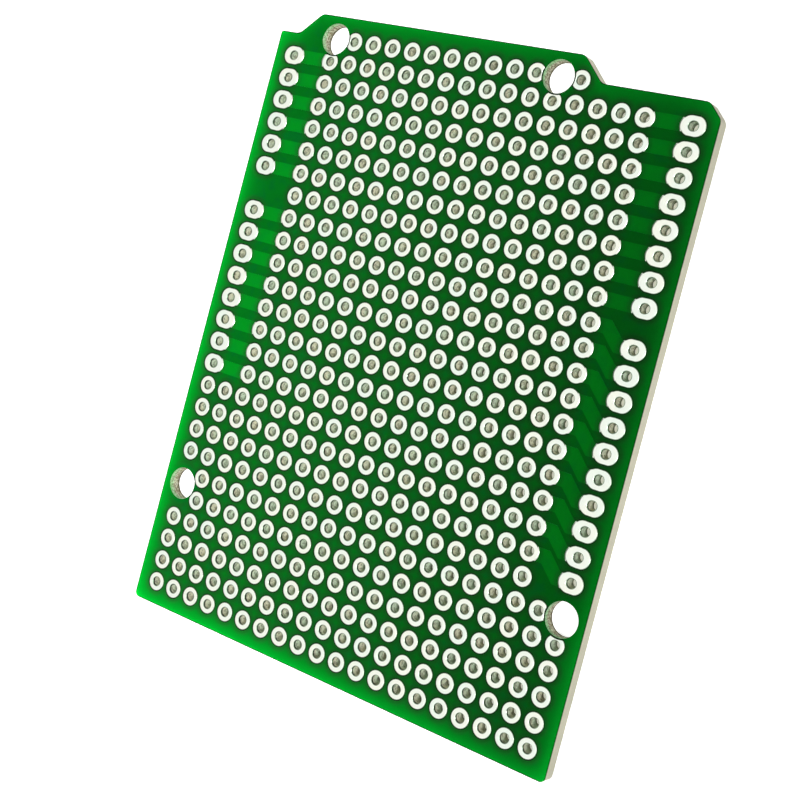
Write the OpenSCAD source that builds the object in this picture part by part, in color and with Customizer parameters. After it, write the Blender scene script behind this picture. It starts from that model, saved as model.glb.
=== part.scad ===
// Bare prototyping board in the outline of a common microcontroller shield, lying copper side up.
// One drilled and routed sheet of glass fibre laminate carries etched and tinned copper lands.
// A coat of green solder mask covers that side, with an opening round each land.
// X runs across the board and Y towards its stepped end. The underside lies on Z = 0.
// Columns of the hole grid count from the left edge and rows from the stepped end, both from 0.

/* [Board] */
// Width of the board, across its header columns
board_w = 53.34; // [44:0.02:90]
// Length of the board
board_l = 68.5; // [59:0.1:100]
// Thickness of the bare laminate
board_t = 1.6; // [0.8:0.1:3.2]
// Radius of the two corners at the straight end
foot_corner_r = 0.6; // [0.1:0.1:1.2]

/* [Stepped end] */
// Depth of the step at both sides of the stepped end
step_depth = 2.54; // [1.5:0.02:3]
// Length of the left step, from the left edge to the foot of its slope
left_step_w = 2.54; // [1.8:0.02:3.6]
// Length of the right step, from the right edge to the foot of its slope
right_step_w = 12.95; // [10:0.05:16]
// Size of the chamfer on the right corner
corner_chamfer = 1.52; // [0.9:0.02:2.1]
// Radius of the square corner on the left
step_corner_r = 0.3; // [0.1:0.1:1]
// Radius on the blunt outer corners of the slopes and the chamfer
blunt_corner_r = 1; // [0.2:0.1:1.6]
// Radius that the router leaves in the inner corners
inner_corner_r = 1.2; // [0.4:0.1:2]

/* [Hole grid] */
// Distance from one hole to the next
hole_spacing = 2.54; // [2.4:0.01:2.9]
// Distance from the stepped end to the first row of holes
top_margin = 2.54; // [2.3:0.02:2.8]
// Least distance from the other edges to a row or column of holes
least_margin = 2.3; // [2.1:0.1:4]
// Diameter of a drilled lead hole
hole_d = 1; // [0.7:0.05:1.1]
// Diameter of the mounting holes
mount_d = 3.5; // [2.8:0.1:4]
// Least laminate between a mounting hole and the slope beside it
mount_wall = 1; // [0.4:0.1:1.6]

/* [Copper lands] */
// Diameter of a round land
land_d = 2.05; // [1.6:0.05:2.15]
// Length of an oblong header land
header_land_l = 2.63; // [2.2:0.01:3.2]
// Width of the tracks from the header lands to the grid
track_w = 1.38; // [0.6:0.02:1.5]
// Straight run of a stepped track before it slants to its header land
slant_start = 1.9; // [1.2:0.05:2.3]
// Thickness of the copper foil
copper_t = 0.035; // [0.018:0.001:0.07]
// Thickness of the tin on the bare copper
tin_t = 0.015; // [0.005:0.005:0.04]
// Clear ring that the copper leaves round a mounting hole
copper_setback = 0.16; // [0.06:0.02:0.3]

/* [Solder mask] */
// Thickness of the coat of solder mask
mask_t = 0.03; // [0.015:0.005:0.06]
// Clear ring round a land, where the laminate shows
mask_gap = 0.1; // [0.04:0.01:0.13]

/* [Hidden] */
$fn = 32;

LAMINATE_COLOR = [0.74, 0.71, 0.58];
MASK_COLOR = [0.0, 0.46, 0.11];
TIN_COLOR = [0.93, 0.94, 0.91];

// Overshoot of a cutter past the face that it opens
past = 0.5;
// Least wall between a lead hole and a mounting hole
least_wall = 0.15;
clear_land_h = copper_t + tin_t;
covered_h = copper_t + mask_t;
header_stretch = header_land_l - land_d;

// The grid has the columns and rows that the board holds, and stands midway between its sides
last_column = floor((board_w - 2 * least_margin) / hole_spacing);
last_row = floor((board_l - top_margin - least_margin) / hole_spacing);
side_margin = (board_w - hole_spacing * last_column) / 2;
// The columns of the first and last links, inside the header columns
inner_left = 2;
inner_right = last_column - 2;

// How many columns in from a side a circle in the first row keeps clear of the slope
function clear_columns(step_w, clear_r) =
    ceil((sqrt(2) * clear_r + step_w + step_depth - top_margin - side_margin) / hole_spacing);
mount_clear_r = mount_d / 2 + mount_wall;
first_row_end = last_column - clear_columns(right_step_w, land_d / 2 + mask_gap);

// Mounting holes, each as its column and row on the grid
MOUNTS = [
    [clear_columns(left_step_w, mount_clear_r), 0],
    [last_column - clear_columns(right_step_w, mount_clear_r), 0],
    [0, 20.5],
    [last_column, 20]
];

// A link is one header land and the grid land that its track runs to
function links(header_column, grid_column, first, last, lag) = [
    for (r = [first:last]) [[header_column, r + lag], [grid_column, r]]
];
ANALOG = links(0, inner_left, 1, 6, 0);
POWER = links(0, inner_left, 8, 15, 0);
DIGITAL_LOW = links(last_column, inner_right, 1, 8, 0);
// This header stands six tenths of a hole spacing further on, off the grid
DIGITAL_HIGH = links(last_column, inner_right, 9, 18, 0.6);
LINKS = concat(ANALOG, POWER, DIGITAL_LOW, DIGITAL_HIGH);

// Past the end of the headers the grid spreads out to the sides of the board
function spread_row(group) = 1 + ceil(max([for (link = group) link[0].y]));
function first_column(r) = r < spread_row(POWER) ? inner_left : 0;
function final_column(r) = r == 0 ? first_row_end : r < spread_row(DIGITAL_HIGH) ? inner_right : last_column;

// Places in the plane of the board
function place(spot) = [
    hole_spacing * (spot.x - last_column / 2),
    board_l / 2 - top_margin - hole_spacing * spot.y
];
function from_top_left(right, down) = [right - board_w / 2, board_l / 2 - down];

function mount_gap(spot) = min([for (m = MOUNTS) norm(place(spot) - place(m)) - mount_d / 2]);
function is_drillable(spot) = mount_gap(spot) >= hole_d / 2 + least_wall;
function is_whole(spot) = mount_gap(spot) >= land_d / 2 + copper_setback;
function is_linked(spot) = len([for (link = LINKS) if (link[1] == spot) link]) > 0;
FREE = [
    for (r = [0:last_row])
        for (c = [first_column(r):final_column(r)])
            if (is_drillable([c, r]) && !is_linked([c, r])) [c, r]
];

// The outline as corners with their radii, from the left end of the straight edge, against the clock
OUTLINE = [
    [from_top_left(0, board_l), foot_corner_r],
    [from_top_left(board_w, board_l), foot_corner_r],
    [from_top_left(board_w, step_depth + corner_chamfer), blunt_corner_r],
    [from_top_left(board_w - corner_chamfer, step_depth), blunt_corner_r],
    [from_top_left(board_w - right_step_w, step_depth), inner_corner_r],
    [from_top_left(board_w - right_step_w - step_depth, 0), blunt_corner_r],
    [from_top_left(left_step_w + step_depth, 0), blunt_corner_r],
    [from_top_left(left_step_w, step_depth), inner_corner_r],
    [from_top_left(0, step_depth), step_corner_r]
];
function corner(k) = OUTLINE[(k + len(OUTLINE)) % len(OUTLINE)];
function turns_left(k) = cross(corner(k)[0] - corner(k - 1)[0], corner(k + 1)[0] - corner(k)[0]) > 0;

// The sliver between a sharp corner and the arc that rounds it
module corner_sliver(k) {
    tip = corner(k)[0];
    r = corner(k)[1];
    back = (corner(k - 1)[0] - tip) / norm(corner(k - 1)[0] - tip);
    ahead = (corner(k + 1)[0] - tip) / norm(corner(k + 1)[0] - tip);
    half_angle = acos(back * ahead) / 2;
    centre = tip + (back + ahead) / norm(back + ahead) * r / sin(half_angle);
    difference() {
        polygon([tip, tip + back * r / tan(half_angle), centre, tip + ahead * r / tan(half_angle)]);
        translate(centre) circle(r);
    }
}

module outline() {
    difference() {
        union() {
            polygon([for (c = OUTLINE) c[0]]);
            for (k = [0:len(OUTLINE) - 1]) if (!turns_left(k)) corner_sliver(k);
        }
        for (k = [0:len(OUTLINE) - 1]) if (turns_left(k)) corner_sliver(k);
    }
}

module mount_circles(margin = 0) {
    for (m = MOUNTS) translate(place(m)) circle(mount_d / 2 + margin);
}

module circles(spots, d) {
    for (s = spots) translate(place(s)) circle(d = d);
}

// Oblong lands, rounded at both ends
module oblongs(spots, d) {
    for (s = spots) translate(place(s)) {
        square([header_stretch, d], center = true);
        for (side = [-1, 1]) translate([side * header_stretch / 2, 0]) circle(d = d);
    }
}

// Both lands of each link, grown by a margin
module link_lands(group, margin = 0) {
    oblongs([for (link = group) link[0]], land_d + 2 * margin);
    circles([for (link = group) link[1]], land_d + 2 * margin);
}

// A strip of even width along points, mitred at its bends
module strip(points, w) {
    last = len(points) - 1;
    runs = [for (k = [1:last]) (points[k] - points[k - 1]) / norm(points[k] - points[k - 1])];
    function normal(k) = [-runs[k].y, runs[k].x];
    function mitre(before, after) = (before + after) / (1 + before * after) * w / 2;
    offsets = [for (k = [0:last]) mitre(normal(max(k - 1, 0)), normal(min(k, last - 1)))];
    polygon(concat(
        [for (k = [0:last]) points[k] - offsets[k]],
        [for (k = [last:-1:0]) points[k] + offsets[k]]
    ));
}

// The track of each link leaves its grid land level and slants at 45 degrees where the header lags
module tracks(group, w) {
    for (link = group) {
        start = place(link[1]);
        end = place(link[0]);
        way = sign(end.x - start.x);
        lag = start.y - end.y;
        bend = start + [way * slant_start, 0];
        if (lag == 0) strip([start, end], w);
        else strip([start, bend, bend + [way * lag, -lag], end], w);
    }
}

module mask_openings() {
    circles(FREE, land_d + 2 * mask_gap);
    link_lands(LINKS, mask_gap);
}

module lead_holes() {
    circles(FREE, hole_d);
    for (link = LINKS) circles(link, hole_d);
}

// The drilled and routed sheet
module laminate() {
    color(LAMINATE_COLOR) linear_extrude(board_t) difference() {
        outline();
        mount_circles();
        lead_holes();
    }
}

// The green coat, which climbs over each covered track and stops short of each land
module solder_mask() {
    color(MASK_COLOR) translate([0, 0, board_t]) difference() {
        union() {
            linear_extrude(mask_t) outline();
            // Each ridge grows out of the middle of the film, so that no faces of the two coincide
            translate([0, 0, mask_t / 2])
                linear_extrude(covered_h - mask_t / 2) tracks(LINKS, track_w + 2 * mask_t);
        }
        translate([0, 0, -past]) linear_extrude(covered_h + 2 * past) {
            mount_circles();
            mask_openings();
        }
        translate([0, 0, -past]) linear_extrude(copper_t + past) tracks(LINKS, track_w);
    }
}

// Round lands with no track
module round_lands(spots) {
    color(TIN_COLOR) translate([0, 0, board_t]) linear_extrude(clear_land_h) difference() {
        circles(spots, land_d);
        circles(spots, hole_d);
        mount_circles(copper_setback);
    }
}

module grid_lands() {
    round_lands([for (s = FREE) if (is_whole(s)) s]);
}

// The lands beside the mounting holes, cut back from the hole on an arc
module trimmed_lands() {
    round_lands([for (s = FREE) if (!is_whole(s)) s]);
}

// Pairs of lands joined by their track. Tin lies on the copper only inside the mask openings.
module linked_lands(group) {
    color(TIN_COLOR) translate([0, 0, board_t]) difference() {
        linear_extrude(clear_land_h) difference() {
            union() {
                link_lands(group);
                tracks(group, track_w);
            }
            for (link = group) circles(link, hole_d);
            mount_circles(copper_setback);
        }
        translate([0, 0, copper_t]) linear_extrude(tin_t + past) difference() {
            tracks(group, track_w + past);
            link_lands(group, mask_gap);
        }
    }
}

module analog_lands() {
    linked_lands(ANALOG);
}

module power_lands() {
    linked_lands(POWER);
}

module digital_low_lands() {
    linked_lands(DIGITAL_LOW);
}

module digital_high_lands() {
    linked_lands(DIGITAL_HIGH);
}

laminate();
solder_mask();
grid_lands();
trimmed_lands();
analog_lands();
power_lands();
digital_low_lands();
digital_high_lands();
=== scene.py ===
"""A bare prototyping board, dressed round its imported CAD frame.

Sizes are written in millimetres, and a finished mesh is scaled to metres. X runs across the board, Y towards
its stepped end, and the underside lies on Z = 0. A spot is a column and row of the hole grid: columns count
from the left edge and rows from the stepped end, both from 0.
"""
import functools
import math
import random

import bmesh
import bpy
from mathutils import Euler, Matrix, Vector


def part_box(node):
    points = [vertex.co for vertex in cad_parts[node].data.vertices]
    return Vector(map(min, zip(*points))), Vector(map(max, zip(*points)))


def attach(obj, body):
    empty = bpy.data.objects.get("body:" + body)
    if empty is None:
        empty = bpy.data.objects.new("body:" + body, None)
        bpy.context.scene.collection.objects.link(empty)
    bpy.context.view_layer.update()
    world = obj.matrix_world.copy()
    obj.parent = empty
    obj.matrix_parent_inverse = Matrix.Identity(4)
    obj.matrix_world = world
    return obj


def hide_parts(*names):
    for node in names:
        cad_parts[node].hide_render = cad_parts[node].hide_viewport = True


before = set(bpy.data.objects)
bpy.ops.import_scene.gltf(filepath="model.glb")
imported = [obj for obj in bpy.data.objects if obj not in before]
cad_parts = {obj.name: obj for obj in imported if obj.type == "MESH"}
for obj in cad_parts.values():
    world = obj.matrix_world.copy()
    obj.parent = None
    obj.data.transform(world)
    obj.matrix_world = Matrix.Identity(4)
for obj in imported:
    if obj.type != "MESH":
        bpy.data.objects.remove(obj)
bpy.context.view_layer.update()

# The laminate is one sheet of glass cloth in epoxy, pressed from plies, drilled and then routed to outline.
# Its cut walls are pale and fibrous. The drill leaves the mouth of each lead hole scorched, and the rim of
# each mounting hole crushed, with a painted highlight on it. The lower ends of the holes carry painted
# shade.
# The etched face is dark where it shows beside the lands, partly its own tone and partly painted shade.
mm = 0.001
sheet_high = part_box("laminate")[1] / mm
sheet_t = sheet_high.z
hole_spacing = 2.54
last_column, last_row = 19, 25
top_margin = 2.54
mount_d = 3.5
mount_spots = [(2, 0), (13, 0), (0, 20.5), (last_column, 20)]
step_depth = 2.54
left_step_w, right_step_w = 2.54, 12.95
corner_chamfer = 1.52
ply_t = 0.2
thread_across, thread_along = 0.58, 0.8


def place(spot):
    """Where a spot of the grid lies on the board."""
    column, row = spot
    across = hole_spacing * (column - last_column / 2)
    return Vector((across, sheet_high.y - top_margin - hole_spacing * row))


def paint(red, green, blue):
    """A colour that a screen shows with these values from 0 to 255, as a shader takes it."""
    shares = [value / 255 for value in (red, green, blue)]
    return [s / 12.92 if s < 0.04045 else ((s + 0.055) / 1.055) ** 2.4 for s in shares] + [1.0]


class Field:
    """A socket in a finish. Python's operators on it add Math nodes."""

    def __init__(self, tree, socket):
        self.tree = tree
        self.socket = socket

    def node(self, kind, settings=None, sockets=None, out=0):
        """Adds any node: its settings come first, then the values or links of its sockets."""
        made = self.tree.nodes.new("ShaderNode" + kind)
        for name, value in (settings or {}).items():
            setattr(made, name, value)
        for name, value in (sockets or {}).items():
            if isinstance(value, Field):
                self.tree.links.new(value.socket, made.inputs[name])
            else:
                made.inputs[name].default_value = value
        return Field(self.tree, made.outputs[out])

    def math(self, operation, *values):
        return self.node("Math", {"operation": operation}, dict(enumerate(values)))

    def __add__(self, other):
        return self.math("ADD", self, other)

    def __radd__(self, other):
        return self.math("ADD", other, self)

    def __sub__(self, other):
        return self.math("SUBTRACT", self, other)

    def __rsub__(self, other):
        return self.math("SUBTRACT", other, self)

    def __mul__(self, other):
        return self.math("MULTIPLY", self, other)

    def __rmul__(self, other):
        return self.math("MULTIPLY", other, self)

    def __abs__(self):
        return self.math("ABSOLUTE", self)

    def sin(self):
        return self.math("SINE", self)

    def greater(self, other):
        return self.math("MAXIMUM", self, other)

    def lesser(self, other):
        return self.math("MINIMUM", self, other)

    def hypotenuse(self, other):
        """The distance between two points that lie this far apart along X and other along Y."""
        square = self * self + other * other
        return square.math("SQRT", square)

    def off_beat(self, spacing):
        """How far this is from the nearest whole number of spacings."""
        return self.math("PINGPONG", self, spacing / 2)

    def rise(self, low, high):
        """0 up to low, 1 from high on, and a smooth slope between them."""
        limits = {"Value": self, "From Min": low, "From Max": high}
        return self.node("MapRange", {"interpolation_type": "SMOOTHSTEP"}, limits)

    def fall(self, low, high):
        return 1 - self.rise(low, high)

    def axes(self):
        """The three parts of a place."""
        return [self.node("SeparateXYZ", None, {0: self}, out) for out in range(3)]

    def speckle(self, scale, detail=2, stretch=(1, 1, 1)):
        """Noise from 0 to 1 at a place, with so many grains to the millimetre."""
        spread = self.node("VectorMath", {"operation": "MULTIPLY"}, {0: self, 1: stretch})
        return spread.node("TexNoise", None, {"Vector": spread, "Scale": scale, "Detail": detail})

    def blend(self, low, high):
        """Mixes two colours by this field: low where it is 0 and high where it is 1."""
        return self.node("Mix", {"data_type": "RGBA"}, {0: self, 6: low, 7: high}, 2)

    def scale(self, share):
        """This place or colour, times a number."""
        return self.node("VectorMath", {"operation": "SCALE"}, {0: self, "Scale": share})

    def bump(self, height, strength):
        """A Normal whose relief stands height metres at strength 1."""
        return self.node("Bump", None, {"Height": self, "Distance": height, "Strength": strength})

    def into(self, shader, name):
        self.tree.links.new(self.socket, shader.inputs[name])


def least(fields):
    """The smallest of several fields."""
    return functools.reduce(Field.lesser, fields)


def new_finish(name, fixed):
    """A finish with its fixed sockets set, its shader, and the place of each point in millimetres."""
    finish = bpy.data.materials.new(name)
    finish.use_nodes = True
    tree = finish.node_tree
    shader = tree.nodes["Principled BSDF"]
    for socket, value in fixed.items():
        shader.inputs[socket].default_value = value
    point = Field(tree, tree.nodes.new("ShaderNodeTexCoord").outputs["Object"])
    return finish, shader, point.scale(1 / mm)


def dress(node, finish):
    """Gives a node of the frame its finish."""
    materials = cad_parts[node].data.materials
    materials.clear()
    materials.append(finish)


def mount_distance(x, y):
    """How far a point is from the middle of the nearest mounting hole."""
    middles = [place(spot) for spot in mount_spots]
    return least([(x - middle.x).hypotenuse(y - middle.y) for middle in middles])


def edge_gaps(x, y):
    """How far inside the left, near, right and stepped edges a point lies, and inside the chamfer."""
    step_y = sheet_high.y - step_depth
    from_left = x - (left_step_w - sheet_high.x)
    from_right = sheet_high.x - right_step_w - x
    end = step_y + from_left.lesser(from_right).lesser(step_depth).greater(0)
    chamfer = (sheet_high.x + step_y - corner_chamfer - x - y) * math.sqrt(0.5)
    return [x + sheet_high.x, y + sheet_high.y, sheet_high.x - x, end - y, chamfer]


finish, shader, point = new_finish("glass_fibre_laminate", {"Specular IOR Level": 0.12})
x, y, z = point.axes()
depth = sheet_t - z
edge_gap = least(edge_gaps(x, y))
in_mount = mount_distance(x, y).fall(mount_d / 2 + 0.1, mount_d / 2 + 0.2)
outside = edge_gap.fall(0.2, 0.3)
in_lead = 1 - in_mount.greater(outside)
mottle = point.speckle(4, 3)
specks = point.speckle(6, 2)
stains = point.speckle(3, 2)
patch = point.speckle(0.5, 1)
fibre = point.speckle(9, 2, (1, 1, 0.3))
plies = (z * (2 * math.pi / ply_t) + 5 * point.speckle(1.2)).sin()

# The routed outer walls show their plies, under an edge that the router darkened
resin, glass = paint(226, 222, 196), paint(246, 244, 222)
routed_edge = paint(60, 84, 48)
wall = (0.5 + 0.15 * plies + 0.7 * (fibre - 0.5)).blend(resin, glass)
wall = (outside * depth.fall(0.02, 0.12) * 0.6).blend(wall, routed_edge)

# The lead holes are pale and stained, with a scorched mouth and painted shade at their lower end
drilled_cool, drilled_warm = paint(236, 252, 228), paint(251, 251, 226)
dust, scorched, hole_foot_shade = paint(108, 106, 80), paint(30, 32, 20), paint(70, 70, 54)
wall = (in_lead * 0.95).blend(wall, patch.rise(0.38, 0.62).blend(drilled_cool, drilled_warm))
wall = (in_lead * stains.rise(0.48, 0.62) * 0.5).blend(wall, dust)
wall = (in_lead * (depth + 0.24 * mottle).fall(0.28, 0.42) * 0.95).blend(wall, scorched)
# Painted shade: the deep lower end of each lead hole is darkened, where little light reaches
wall = (in_lead * (depth + 0.2 * mottle).rise(1.15, 1.6) * 0.4).blend(wall, hole_foot_shade)

# The mounting holes are mottled brown, with pits and chips, a crushed rim painted pale green as a highlight,
# and painted shade at their lower end
bruised, crushed_rim_highlight, pitted = paint(146, 134, 96), paint(180, 250, 180), paint(96, 104, 66)
chipped, mount_foot_shade = paint(240, 253, 236), paint(76, 62, 44)
ragged = depth + 0.7 * (mottle - 0.5)
wall = (in_mount * mottle.rise(0.4, 0.58) * 0.85).blend(wall, bruised)
# Painted highlight: the crushed rim near the top of each mounting hole is painted pale green and bright
wall = (in_mount * ragged.fall(0.1, 0.8) * 0.85).blend(wall, crushed_rim_highlight)
wall = (in_mount * specks.rise(0.52, 0.62) * 0.5).blend(wall, pitted)
wall = (in_mount * specks.fall(0.38, 0.45) * ragged.fall(0.3, 1) * 0.7).blend(wall, chipped)
# Painted shade: the lower end of each mounting hole is darkened
wall = (in_mount * depth.rise(1.15, 1.5) * 0.85).blend(wall, mount_foot_shade)

# The underside is bare, and the cloth's weave shows in it
weave = (x * (math.pi / thread_across)).sin() * (y * (math.pi / thread_along)).sin()
cloth = 0.5 + 0.35 * weave + 0.5 * (point.speckle(1.5) - 0.5)
under = cloth.blend(paint(176, 172, 126), paint(200, 196, 156))
etched_face = depth.fall(0.001, 0.002)
underside = z.fall(0.001, 0.002)
# The etched face beside the lands is dark: partly the laminate's own tone, partly painted shade of the gap
# between land and mask
etched_and_shaded = paint(6, 40, 10)
underside.blend(etched_face.blend(wall, etched_and_shaded), under).into(shader, "Base Color")
(0.62 - 0.22 * underside + 0.2 * (mottle - 0.5)).into(shader, "Roughness")
relief = underside * weave * 0.4 + (1 - underside) * (fibre + 0.3 * plies)
relief.bump(0.02 * mm, 0.6).into(shader, "Normal")
dress("laminate", finish)

# The solder mask is a coat of green lacquer, printed over the whole copper side and opened round each land.
# It climbs over the tracks, whose copper shines through it. A painted glow brightens it along the edges of
# the board, standing in for light that enters the cut walls of the sheet. Round each opening it is thinner,
# and it is also painted darker there as the shade of the raised lands.
mask_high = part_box("solder_mask")[1].z / mm
film_t = 0.03
glow_reach = 0.9
header_stretch = 0.58
inner_left, inner_right = 2, last_column - 2
first_row_end = 14
spread_left, spread_right = 16, 20

# Each header row: its column, its first and last rows, and how far it lags behind the grid
headers = {
    "analog_lands": (0, (1, 6), 0),
    "power_lands": (0, (8, 15), 0),
    "digital_low_lands": (last_column, (1, 8), 0),
    "digital_high_lands": (last_column, (9, 18), 0.6),
}

# Each block of lands: its first and last spots, and how much longer than round its lands are
land_blocks = [
    ((inner_left, 1), (inner_right, last_row), 0),
    ((inner_left, 0), (first_row_end, 0), 0),
    ((0, spread_left), (inner_left - 1, last_row), 0),
    ((inner_right + 1, spread_right), (last_column, last_row), 0),
]
for column, (first, last), lag in headers.values():
    land_blocks.append(((column, first + lag), (column, last + lag), header_stretch))


def land_distance(x, y):
    """How far a point is from the middle of the nearest land, or from the middle line of an oblong one."""
    distances = []
    for first, last, stretch in land_blocks:
        start, stop = place(first), place(last)
        within = x.greater(start.x).lesser(stop.x)
        across = ((within - start.x).off_beat(hole_spacing) + abs(x - within) - stretch / 2).greater(0)
        within = y.greater(stop.y).lesser(start.y)
        along = (within - start.y).off_beat(hole_spacing) + abs(y - within)
        distances.append(across.hypotenuse(along))
    return least(distances)


finish, shader, point = new_finish("green_solder_mask", {"Specular IOR Level": 0.03})
x, y, z = point.axes()
edge_gap = least(edge_gaps(x, y))
over_copper = z.rise(sheet_t + film_t + 0.005, mask_high - 0.005)
clear_of_mounts = mount_distance(x, y).rise(mount_d / 2 + 0.1, mount_d / 2 + 0.9)
# Round each opening: thinner lacquer, and painted shade of the raised lands
thinned_and_shaded = land_distance(x, y).fall(1.1, 1.8) * clear_of_mounts
cloud = point.speckle(0.16, 2)
blot = point.speckle(0.9, 2)
grain = point.speckle(7, 2)

# Each of these colours has a deeper one over bare laminate and a lighter one over copper
plain = over_copper.blend(paint(0, 98, 20), paint(1, 128, 26))
bluish = over_copper.blend(paint(0, 84, 40), paint(0, 118, 36))
greyed_and_shaded = over_copper.blend(paint(24, 98, 34), paint(24, 128, 40))
blots = blot.rise(0.45, 0.7) * edge_gap.rise(0.8, 2.5)
green = (blots * 0.35).blend(plain, bluish)
# Round each opening the green is greyed, partly as thinner lacquer and partly as painted shade
green = (thinned_and_shaded * 0.8).blend(green, greyed_and_shaded)

# How strongly the painted glow brightens the left, near, right and stepped edges, and the chamfer
glow_shares = [2.2, 2.4, 1.6 + 1.4 * y.fall(-34, -5), 1.1, 0.9]
glow = 1
for share, gap in zip(glow_shares, edge_gaps(x, y)):
    glow = glow + share * gap.math("EXPONENT", gap * (-1 / glow_reach))
brink = edge_gap.fall(0.03, 0.15)

# Painted shade: the green deepens from left to right, past the first quarter, and lightens towards both
# ends, as the lamps' light falls across the board
level = 1.03 - 0.016 * x.greater(-12) - 0.003 * y + 0.00022 * y * y
level = level + 0.3 * (cloud - 0.5) + 0.2 * (grain - 0.5)
# The painted glow brightens the edges, the very edge is darker, and painted shade darkens round the openings
level = level * glow * (1 - 0.75 * brink) * (1 - 0.35 * thinned_and_shaded)
green.scale(level).into(shader, "Base Color")
(0.36 + 0.14 * (grain - 0.5) + 0.1 * (cloud - 0.5)).into(shader, "Roughness")
(point.speckle(2.2, 2) + 0.4 * grain).bump(0.006 * mm, 0.5).into(shader, "Normal")
dress("solder_mask", finish)

# The round lands of the grid are copper rings, etched with the tracks and dipped in tin.
# Hot air levels the tin, which leaves each ring crowned and thin at its rims; the rims are painted dark
# green as shade.
land_d = 2.05
hole_d = 1.0
land_t = 0.05
copper_setback = 0.16
mount_clear_r = mount_d / 2 + copper_setback
least_wall = 0.15
turns = 24
crowning = [
    (hole_d / 2, 0),
    (hole_d / 2, 0.5 * land_t),
    (0.6, 0.84 * land_t),
    (0.76, land_t),
    (0.95, 0.8 * land_t),
    (land_d / 2, 0.45 * land_t),
    (land_d / 2, 0),
]
random.seed(11)


def link(column, rows, lag):
    """Pairs of header land and grid land, each as its spot, joined by one track."""
    first, last = rows
    grid_column = inner_left if column == 0 else inner_right
    return [((column, row + lag), (grid_column, row)) for row in range(first, last + 1)]


links = {name: link(*header) for name, header in headers.items()}
linked = {grid for group in links.values() for _, grid in group}


def mount_gap(spot):
    """From a place on the grid to the wall of the nearest mounting hole."""
    return min((place(spot) - place(mount)).length for mount in mount_spots) - mount_d / 2


def columns(row):
    """The columns of a row: the grid stays inside the headers until they end."""
    first = inner_left if row < spread_left else 0
    last = first_row_end if row == 0 else inner_right if row < spread_right else last_column
    return range(first, last + 1)


free = [
    (column, row)
    for row in range(last_row + 1)
    for column in columns(row)
    if mount_gap((column, row)) > hole_d / 2 + least_wall and (column, row) not in linked
]
whole = [spot for spot in free if mount_gap(spot) > land_d / 2 + copper_setback]
trimmed = [spot for spot in free if spot not in whole]


def spin_ring():
    """A land by itself round its hole: its crowned section, spun."""
    ring = bmesh.new()
    corners = [ring.verts.new((radius, 0, height)) for radius, height in crowning]
    section = corners + [ring.edges.new(pair) for pair in zip(corners, corners[1:] + corners[:1])]
    bmesh.ops.spin(
        ring, geom=section, cent=(0, 0, 0), axis=(0, 0, 1), angle=2 * math.pi, steps=turns, use_merge=True
    )
    for face in ring.faces:
        face.smooth = True
    turn = Matrix.Rotation(random.uniform(0, 2 * math.pi / turns), 3, "Z")
    bmesh.ops.rotate(ring, verts=ring.verts, cent=(0, 0, 0), matrix=turn)
    return ring


def gather(shape, bm):
    """Adds a finished shape to the others of its piece."""
    bmesh.ops.recalc_face_normals(shape, faces=shape.faces)
    mesh = bpy.data.meshes.new("shape")
    shape.to_mesh(mesh)
    shape.free()
    bm.from_mesh(mesh)
    bpy.data.meshes.remove(mesh)


def settle(ring, spot, bm):
    """Sets a land on the laminate at its spot, held back from the mounting holes on an arc."""
    for mount in mount_spots:
        middle = place(mount) - place(spot)
        for v in ring.verts:
            away = v.co.xy - middle
            if away.length < mount_clear_r:
                v.co.xy = middle + away * mount_clear_r / away.length
    bmesh.ops.translate(ring, verts=ring.verts, vec=(*place(spot), sheet_t))
    gather(ring, bm)


def set_piece(bm, node):
    """Makes the mesh a piece of tinned copper that stands for a node of the frame."""
    bmesh.ops.scale(bm, verts=bm.verts, vec=(mm, mm, mm))
    mesh = bpy.data.meshes.new(node + "_tinned")
    bm.to_mesh(mesh)
    bm.free()
    piece = bpy.data.objects.new(node + "_tinned", mesh)
    bpy.context.collection.objects.link(piece)
    mesh.materials.append(tinned)
    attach(piece, "root")
    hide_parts(node)


tinned, shader, point = new_finish("levelled_tin", {"Specular IOR Level": 0.5, "Metallic": 1.0})
_, _, z = point.axes()
crown = z.rise(sheet_t + 0.45 * land_t, sheet_t + 0.8 * land_t)
grain = point.speckle(6, 3)
patch = point.speckle(0.35, 2)
# Painted shade: the low rims of each land, below its crown, are painted dark green
rim_painted_shade = paint(44, 116, 52)
tin = patch.rise(0.3, 0.7).blend(paint(250, 252, 238), paint(242, 251, 240))
crown.blend(rim_painted_shade, tin).into(shader, "Base Color")
(0.34 + 0.2 * (grain - 0.5)).into(shader, "Roughness")
(grain + 0.5 * point.speckle(2.5)).bump(0.01 * mm, 0.5).into(shader, "Normal")

bm = bmesh.new()
for spot in whole:
    settle(spin_ring(), spot, bm)
set_piece(bm, "grid_lands")

# The lands beside the mounting holes are the same rings, etched back on an arc so that no copper
# reaches the hole's wall. A thin line of laminate shows between the arc and the hole.
bm = bmesh.new()
for spot in trimmed:
    settle(spin_ring(), spot, bm)
set_piece(bm, "trimmed_lands")

# A header row is a row of oblong lands, each joined by a covered track to a round land of the grid. Tin lies
# only inside the mask openings, and reaches to the rim of an opening where a track leaves through it.
# The tracks of the second row on the right slant, because its header lands lag behind the grid.
track_w = 1.38
track_root = 0.8
slant_start = 1.9
copper_t = 0.035
mask_gap = 0.1
hair = 0.01


def reach_out(ring, way, stretch=0):
    """Lengthens a land into an oblong, and draws its rim out to the mask opening where its track leaves."""
    for v in ring.verts:
        away = v.co.xy
        radius = away.length
        share = (radius - hole_d / 2) / (land_d / 2 - hole_d / 2)
        if radius > land_d / 2 - hair and abs(away.y) < track_w / 2 and away.x * way > 0:
            away *= (land_d / 2 + mask_gap) / radius
            v.co.z = copper_t if v.co.z > 0 else 0
        if abs(away.x) > hair:
            away.x += math.copysign(stretch / 2, away.x) * share
        v.co.xy = away
    return ring


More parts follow.
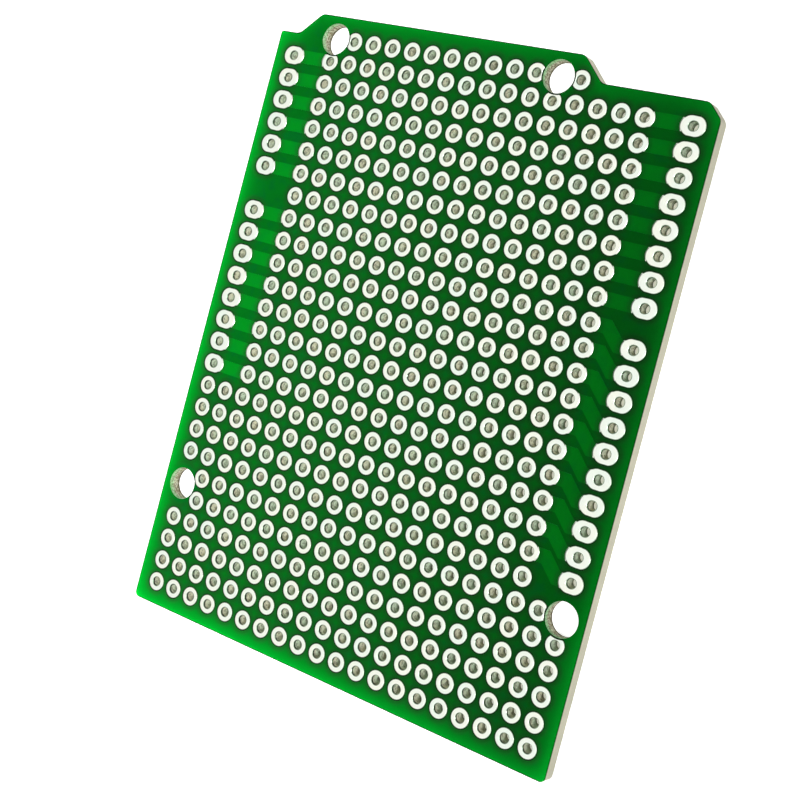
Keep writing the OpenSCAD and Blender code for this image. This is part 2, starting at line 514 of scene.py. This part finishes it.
def draw_track(header, grid, bm):
    """Draws the section of a track out from its grid land to its header land, mitred where it bends."""
    way = math.copysign(1, header.x - grid.x)
    drop = grid.y - header.y
    lean = math.tan(math.pi / 8) * track_w / 2
    here = grid + Vector((way * track_root, 0))
    bend = grid + Vector((way * slant_start, 0))
    stops = [(bend, lean), (bend + Vector((way * drop, -drop)), lean)] if drop > 0 else []
    stops.append((header - Vector((way * (track_root + header_stretch / 2), 0)), 0))
    track = bmesh.new()
    corners = [(-1, 0), (1, 0), (1, copper_t), (-1, copper_t)]
    section = [track.verts.new((here.x, here.y + side * track_w / 2, sheet_t + up)) for side, up in corners]
    face = track.faces.new(section)
    for stop, slope in stops:
        drawn = bmesh.ops.extrude_face_region(track, geom=[face])["geom"]
        face = next(item for item in drawn if isinstance(item, bmesh.types.BMFace))
        for v in face.verts:
            side = math.copysign(1, v.co.y - here.y)
            v.co.xy = stop + side * Vector((way * slope, track_w / 2))
        here = stop
    gather(track, bm)


for node, group in links.items():
    bm = bmesh.new()
    for header, grid in group:
        way = math.copysign(1, header[0] - grid[0])
        settle(reach_out(spin_ring(), way), grid, bm)
        settle(reach_out(spin_ring(), -way, header_stretch), header, bm)
        draw_track(place(header), place(grid), bm)
    set_piece(bm, node)

# The floor is plain and white, and keeps the board's shadow. Under the board it carries a painted shadow, so
# what shows of it through the lead holes is dimmer than the rest. It and the surroundings are also white in
# reflections.
floor_size = 2.0
bm = bmesh.new()
bmesh.ops.create_grid(bm, x_segments=1, y_segments=1, size=floor_size / 2)
mesh = bpy.data.meshes.new("floor")
bm.to_mesh(mesh)
bm.free()
floor = bpy.data.objects.new("floor", mesh)
bpy.context.collection.objects.link(floor)
matt = {
    "Base Color": paint(240, 240, 240),
    "Roughness": 1.0,
    "Specular IOR Level": 0.0,
    "Emission Strength": 1.0,
}
finish, shader, point = new_finish("white_floor", matt)
x, y, _ = point.axes()
clear_of_mounts = mount_distance(x, y).rise(mount_d / 2, mount_d / 2 + 0.3)
covered = least(edge_gaps(x, y)).rise(0, 0.4) * clear_of_mounts
seen = point.node("LightPath", out="Is Camera Ray")
for ray in ("Is Glossy Ray", "Is Transmission Ray"):
    seen = seen + point.node("LightPath", out=ray)
open_floor, shaded_floor = (0.8, 0.8, 0.8, 1), (0.5, 0.5, 0.4, 1)
# Painted shadow: the floor's glow is dimmed where the board covers it
covered.blend(open_floor, shaded_floor).scale(seen).into(shader, "Emission Color")
mesh.materials.append(finish)

world = bpy.data.worlds.new("white_surroundings")
bpy.context.scene.world = world
world.use_nodes = True
sky = world.node_tree.nodes["Background"]
path = world.node_tree.nodes.new("ShaderNodeLightPath")
direct = Field(world.node_tree, path.outputs["Is Camera Ray"])
mirror = Field(world.node_tree, path.outputs["Is Glossy Ray"])
(0.15 + 0.85 * direct + 0.8 * mirror).into(sky, "Strength")
sky.inputs["Color"].default_value = (1, 1, 1, 1)

# One soft lamp hangs low beyond the left edge of the board, so that the green fades towards the right; part
# of that fade is also painted into the mask's colour.
# A narrow beam comes from the right, past the camera, and is the one that the tin mirrors.
# Each lamp has its place, its aim and its size in metres, its spread in degrees and its power in watts.
for name, stand, aim, size, beam, power, mirrored in (
    ("soft_light_left", (-0.048, -0.006, 0.085), (-0.02, 0, 0), 0.06, 180, 0.042, False),
    ("soft_light_right", (0.26, -0.03, 0.34), (-0.035, 0, 0), 0.12, 26, 0.041, True),
):
    lamp = bpy.data.lights.new(name, "AREA")
    lamp.size = size
    lamp.spread = math.radians(beam)
    lamp.energy = power
    holder = bpy.data.objects.new(name, lamp)
    holder.location = stand
    holder.rotation_euler = (Vector(aim) - Vector(stand)).to_track_quat("-Z", "Y").to_euler()
    holder.visible_camera = False
    holder.visible_glossy = mirrored
    bpy.context.collection.objects.link(holder)

# The camera stands over the right of the board and looks down across it, at the photograph's viewing angle.
# Its shift moves the board to its place in the photograph's frame.
camera_spot = (76.33, 9.19, 127.5)
camera_turn = (7.754, 30.371, 17.198)
camera = bpy.data.cameras.new("camera")
camera.lens = 64.239
camera.shift_x, camera.shift_y = -0.025, -0.1225
camera.clip_start, camera.clip_end = 0.01, 10
holder = bpy.data.objects.new("camera", camera)
holder.location = Vector(camera_spot) * mm
holder.rotation_euler = Euler([math.radians(turn) for turn in camera_turn])
bpy.context.collection.objects.link(holder)
bpy.context.scene.camera = holder
bpy.context.scene.view_settings.view_transform = "Standard"
